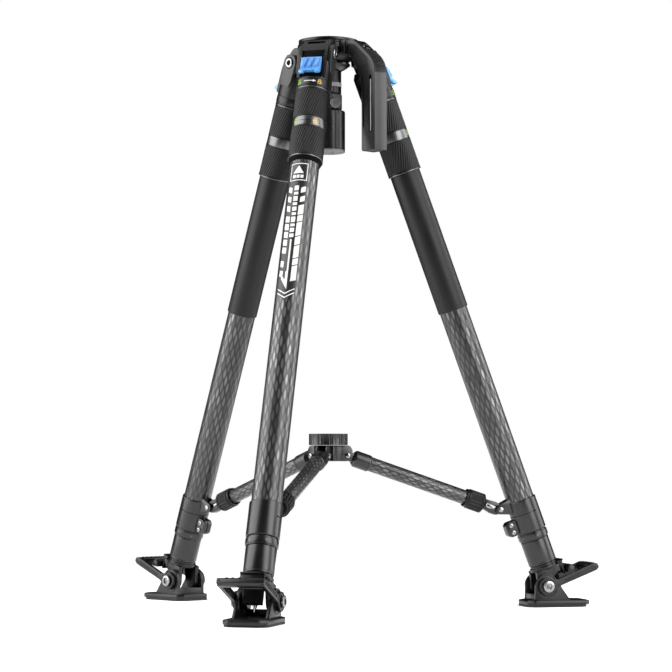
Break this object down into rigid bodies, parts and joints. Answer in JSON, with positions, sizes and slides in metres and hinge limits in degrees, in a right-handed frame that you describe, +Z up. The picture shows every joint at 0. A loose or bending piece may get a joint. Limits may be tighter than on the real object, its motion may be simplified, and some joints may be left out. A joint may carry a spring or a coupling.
{
  "type": "video tripod",
  "caption": "Three-legged video tripod with twist-lock telescopic legs, mid-level spreader, pivoting foot pads, carry handle and half-ball levelling head.",
  "frame": {"origin": "middle of the footprint box, on the ground under the tripod", "axes": "+Z up, the front leg points to -Y, the right leg towards +X and +Y"},
  "size_m": [0.7044, 0.61, 0.807],
  "materials": {
    "black_metal": "satin",
    "knurled_metal": "satin",
    "carbon_tube": "gloss",
    "cover_sleeve": "matte",
    "chrome": "polished",
    "blue_plastic": "satin",
    "rubber": "matte"
  },
  "bodies": {
    "crown": {"crown": "black_metal", "carry_handle": "black_metal"},
    "clamp_cup": {"clamp_cup": "black_metal"},
    "bowl_adapter": {"bowl_adapter": "black_metal"},
    "level_grip": {"level_grip": "black_metal"},
    "spreader_hub": {"spreader_hub": "black_metal"},
    "hub_knob": {"hub_knob": "black_metal"},
    "leg_front": {"leg_top_front": "black_metal", "hinge_bolt_front": "chrome", "outer_tube_front": "carbon_tube", "spreader_collar_front": "black_metal"},
    "middle_front": {"middle_tube_front": "black_metal"},
    "lower_front": {"lower_tube_front": "black_metal", "spike_head_front": "black_metal", "foot_bolt_front": "chrome"},
    "foot_front": {"foot_base_front": "black_metal", "foot_sole_front": "rubber"},
    "angle_tab_front": {"angle_tab_front": "blue_plastic"},
    "upper_lock_front": {"upper_lock_front": "knurled_metal"},
    "lower_lock_front": {"lower_lock_front": "knurled_metal"},
    "foot_lever_front": {"foot_lever_front": "black_metal"},
    "arm_lock_front": {"arm_lock_front": "knurled_metal"},
    "arm_front": {"arm_tube_front": "carbon_tube"},
    "fork_front": {"arm_fork_front": "black_metal"},
    "leg_right": {"leg_top_right": "black_metal", "hinge_bolt_right": "chrome", "outer_tube_right": "carbon_tube", "leg_cover_right": "cover_sleeve", "spreader_collar_right": "black_metal"},
    "middle_right": {"middle_tube_right": "black_metal"},
    "lower_right": {"lower_tube_right": "black_metal", "spike_head_right": "black_metal", "foot_bolt_right": "chrome"},
    "foot_right": {"foot_base_right": "black_metal", "foot_sole_right": "rubber"},
    "angle_tab_right": {"angle_tab_right": "blue_plastic"},
    "upper_lock_right": {"upper_lock_right": "knurled_metal"},
    "lower_lock_right": {"lower_lock_right": "knurled_metal"},
    "foot_lever_right": {"foot_lever_right": "black_metal"},
    "arm_lock_right": {"arm_lock_right": "knurled_metal"},
    "arm_right": {"arm_tube_right": "carbon_tube"},
    "fork_right": {"arm_fork_right": "black_metal"},
    "leg_left": {"leg_top_left": "black_metal", "hinge_bolt_left": "chrome", "outer_tube_left": "carbon_tube", "leg_cover_left": "cover_sleeve", "spreader_collar_left": "black_metal"},
    "middle_left": {"middle_tube_left": "black_metal"},
    "lower_left": {"lower_tube_left": "black_metal", "spike_head_left": "black_metal", "foot_bolt_left": "chrome"},
    "foot_left": {"foot_base_left": "black_metal", "foot_sole_left": "rubber"},
    "angle_tab_left": {"angle_tab_left": "blue_plastic"},
    "upper_lock_left": {"upper_lock_left": "knurled_metal"},
    "lower_lock_left": {"lower_lock_left": "knurled_metal"},
    "foot_lever_left": {"foot_lever_left": "black_metal"},
    "arm_lock_left": {"arm_lock_left": "knurled_metal"},
    "arm_left": {"arm_tube_left": "carbon_tube"},
    "fork_left": {"arm_fork_left": "black_metal"}
  },
  "joints": [
    {"name": "level_tilt_side", "type": "hinge", "parent": "crown", "child": "clamp_cup", "pos_m": [0, 0.08353, 0.7985], "axis": [0.7071, -0.7071, 0], "range_deg": [-10, 10]},
    {"name": "level_tilt_fore", "type": "hinge", "parent": "clamp_cup", "child": "bowl_adapter", "pos_m": [0, 0.08353, 0.7985], "axis": [0.7071, 0.7071, 0], "range_deg": [-10, 10]},
    {"name": "grip_turn", "type": "hinge", "parent": "bowl_adapter", "child": "level_grip", "pos_m": [0, 0.08353, 0.7], "axis": [0, 0, -1], "range_deg": [0, 360]},
    {"name": "spreader_rise", "type": "slide", "parent": "crown", "child": "spreader_hub", "axis": [0, 0, 1], "range_m": [0, 0.1095]},
    {"name": "hub_knob_turn", "type": "hinge", "parent": "spreader_hub", "child": "hub_knob", "pos_m": [0, 0.08353, 0.237], "axis": [0, 0, 1], "continuous": true},
    {"name": "leg_fold_front", "type": "hinge", "parent": "crown", "child": "leg_front", "pos_m": [0, 0.02953, 0.772], "axis": [1, 0, 0], "range_deg": [0, 12]},
    {"name": "angle_tab_pull_front", "type": "hinge", "parent": "leg_front", "child": "angle_tab_front", "pos_m": [0, 0.00057, 0.76453], "axis": [-1, 0, 0], "range_deg": [0, 22], "stiffness_Nm_per_rad": 0.05},
    {"name": "upper_lock_turn_front", "type": "hinge", "parent": "leg_front", "child": "upper_lock_front", "pos_m": [0, 0.02953, 0.772], "axis": [0, 0.3448, 0.9387], "range_deg": [-70, 0]},
    {"name": "lower_lock_turn_front", "type": "hinge", "parent": "leg_front", "child": "lower_lock_front", "pos_m": [0, 0.02953, 0.772], "axis": [0, 0.3448, 0.9387], "range_deg": [-70, 0]},
    {"name": "middle_slide_front", "type": "slide", "parent": "leg_front", "child": "middle_front", "axis": [0, -0.3448, -0.9387], "range_m": [0, 0.4]},
    {"name": "lower_slide_front", "type": "slide", "parent": "middle_front", "child": "lower_front", "axis": [0, -0.3448, -0.9387], "range_m": [0, 0.38]},
    {"name": "foot_swivel_front", "type": "hinge", "parent": "lower_front", "child": "foot_front", "pos_m": [0, -0.22947, 0.0295], "axis": [1, 0, 0], "range_deg": [-20, 20]},
    {"name": "foot_lever_drop_front", "type": "hinge", "parent": "lower_front", "child": "foot_lever_front", "pos_m": [0, -0.22947, 0.0295], "axis": [1, 0, 0], "range_deg": [0, 30]},
    {"name": "arm_swing_front", "type": "hinge", "parent": "spreader_hub", "child": "arm_front", "pos_m": [0, 0.05753, 0.2145], "axis": [1, 0, 0], "range_deg": [0, 49]},
    {"name": "fork_swing_front", "type": "hinge", "parent": "leg_front", "child": "fork_front", "pos_m": [0, -0.16647, 0.138], "axis": [1, 0, 0], "range_deg": [0, 37]},
    {"name": "arm_lock_turn_front", "type": "hinge", "parent": "fork_front", "child": "arm_lock_front", "pos_m": [0, -0.16647, 0.138], "axis": [0, -0.9464, -0.3231], "range_deg": [0, 120]},
    {"name": "leg_fold_right", "type": "hinge", "parent": "crown", "child": "leg_right", "pos_m": [0.04677, 0.11053, 0.772], "axis": [-0.5, 0.866, 0], "range_deg": [0, 12]},
    {"name": "angle_tab_pull_right", "type": "hinge", "parent": "leg_right", "child": "angle_tab_right", "pos_m": [0.07184, 0.12501, 0.76453], "axis": [0.5, -0.866, 0], "range_deg": [0, 22], "stiffness_Nm_per_rad": 0.05},
    {"name": "upper_lock_turn_right", "type": "hinge", "parent": "leg_right", "child": "upper_lock_right", "pos_m": [0.04677, 0.11053, 0.772], "axis": [-0.2986, -0.1724, 0.9387], "range_deg": [-70, 0]},
    {"name": "lower_lock_turn_right", "type": "hinge", "parent": "leg_right", "child": "lower_lock_right", "pos_m": [0.04677, 0.11053, 0.772], "axis": [-0.2986, -0.1724, 0.9387], "range_deg": [-70, 0]},
    {"name": "middle_slide_right", "type": "slide", "parent": "leg_right", "child": "middle_right", "axis": [0.2986, 0.1724, -0.9387], "range_m": [0, 0.4]},
    {"name": "lower_slide_right", "type": "slide", "parent": "middle_right", "child": "lower_right", "axis": [0.2986, 0.1724, -0.9387], "range_m": [0, 0.38]},
    {"name": "foot_swivel_right", "type": "hinge", "parent": "lower_right", "child": "foot_right", "pos_m": [0.27107, 0.24003, 0.0295], "axis": [-0.5, 0.866, 0], "range_deg": [-20, 20]},
    {"name": "foot_lever_drop_right", "type": "hinge", "parent": "lower_right", "child": "foot_lever_right", "pos_m": [0.27107, 0.24003, 0.0295], "axis": [-0.5, 0.866, 0], "range_deg": [0, 30]},
    {"name": "arm_swing_right", "type": "hinge", "parent": "spreader_hub", "child": "arm_right", "pos_m": [0.02252, 0.09653, 0.2145], "axis": [-0.5, 0.866, 0], "range_deg": [0, 49]},
    {"name": "fork_swing_right", "type": "hinge", "parent": "leg_right", "child": "fork_right", "pos_m": [0.21651, 0.20853, 0.138], "axis": [-0.5, 0.866, 0], "range_deg": [0, 37]},
    {"name": "arm_lock_turn_right", "type": "hinge", "parent": "fork_right", "child": "arm_lock_right", "pos_m": [0.21651, 0.20853, 0.138], "axis": [0.8196, 0.4732, -0.3231], "range_deg": [0, 120]},
    {"name": "leg_fold_left", "type": "hinge", "parent": "crown", "child": "leg_left", "pos_m": [-0.04677, 0.11053, 0.772], "axis": [-0.5, -0.866, 0], "range_deg": [0, 12]},
    {"name": "angle_tab_pull_left", "type": "hinge", "parent": "leg_left", "child": "angle_tab_left", "pos_m": [-0.07184, 0.12501, 0.76453], "axis": [0.5, 0.866, 0], "range_deg": [0, 22], "stiffness_Nm_per_rad": 0.05},
    {"name": "upper_lock_turn_left", "type": "hinge", "parent": "leg_left", "child": "upper_lock_left", "pos_m": [-0.04677, 0.11053, 0.772], "axis": [0.2986, -0.1724, 0.9387], "range_deg": [-70, 0]},
    {"name": "lower_lock_turn_left", "type": "hinge", "parent": "leg_left", "child": "lower_lock_left", "pos_m": [-0.04677, 0.11053, 0.772], "axis": [0.2986, -0.1724, 0.9387], "range_deg": [-70, 0]},
    {"name": "middle_slide_left", "type": "slide", "parent": "leg_left", "child": "middle_left", "axis": [-0.2986, 0.1724, -0.9387], "range_m": [0, 0.4]},
    {"name": "lower_slide_left", "type": "slide", "parent": "middle_left", "child": "lower_left", "axis": [-0.2986, 0.1724, -0.9387], "range_m": [0, 0.38]},
    {"name": "foot_swivel_left", "type": "hinge", "parent": "lower_left", "child": "foot_left", "pos_m": [-0.27107, 0.24003, 0.0295], "axis": [-0.5, -0.866, 0], "range_deg": [-20, 20]},
    {"name": "foot_lever_drop_left", "type": "hinge", "parent": "lower_left", "child": "foot_lever_left", "pos_m": [-0.27107, 0.24003, 0.0295], "axis": [-0.5, -0.866, 0], "range_deg": [0, 30]},
    {"name": "arm_swing_left", "type": "hinge", "parent": "spreader_hub", "child": "arm_left", "pos_m": [-0.02252, 0.09653, 0.2145], "axis": [-0.5, -0.866, 0], "range_deg": [0, 49]},
    {"name": "fork_swing_left", "type": "hinge", "parent": "leg_left", "child": "fork_left", "pos_m": [-0.21651, 0.20853, 0.138], "axis": [-0.5, -0.866, 0], "range_deg": [0, 37]},
    {"name": "arm_lock_turn_left", "type": "hinge", "parent": "fork_left", "child": "arm_lock_left", "pos_m": [-0.21651, 0.20853, 0.138], "axis": [-0.8196, 0.4732, -0.3231], "range_deg": [0, 120]}
  ],
  "couplings": [
    {"joint": "spreader_rise", "follows": "leg_fold_front", "m_per_rad": 0.52139},
    {"joint": "arm_swing_front", "follows": "leg_fold_front", "ratio": 4.08},
    {"joint": "fork_swing_front", "follows": "leg_fold_front", "ratio": 3.08},
    {"joint": "leg_fold_right", "follows": "leg_fold_front", "ratio": 1},
    {"joint": "arm_swing_right", "follows": "leg_fold_front", "ratio": 4.08},
    {"joint": "fork_swing_right", "follows": "leg_fold_front", "ratio": 3.08},
    {"joint": "leg_fold_left", "follows": "leg_fold_front", "ratio": 1},
    {"joint": "arm_swing_left", "follows": "leg_fold_front", "ratio": 4.08},
    {"joint": "fork_swing_left", "follows": "leg_fold_front", "ratio": 3.08}
  ]
}
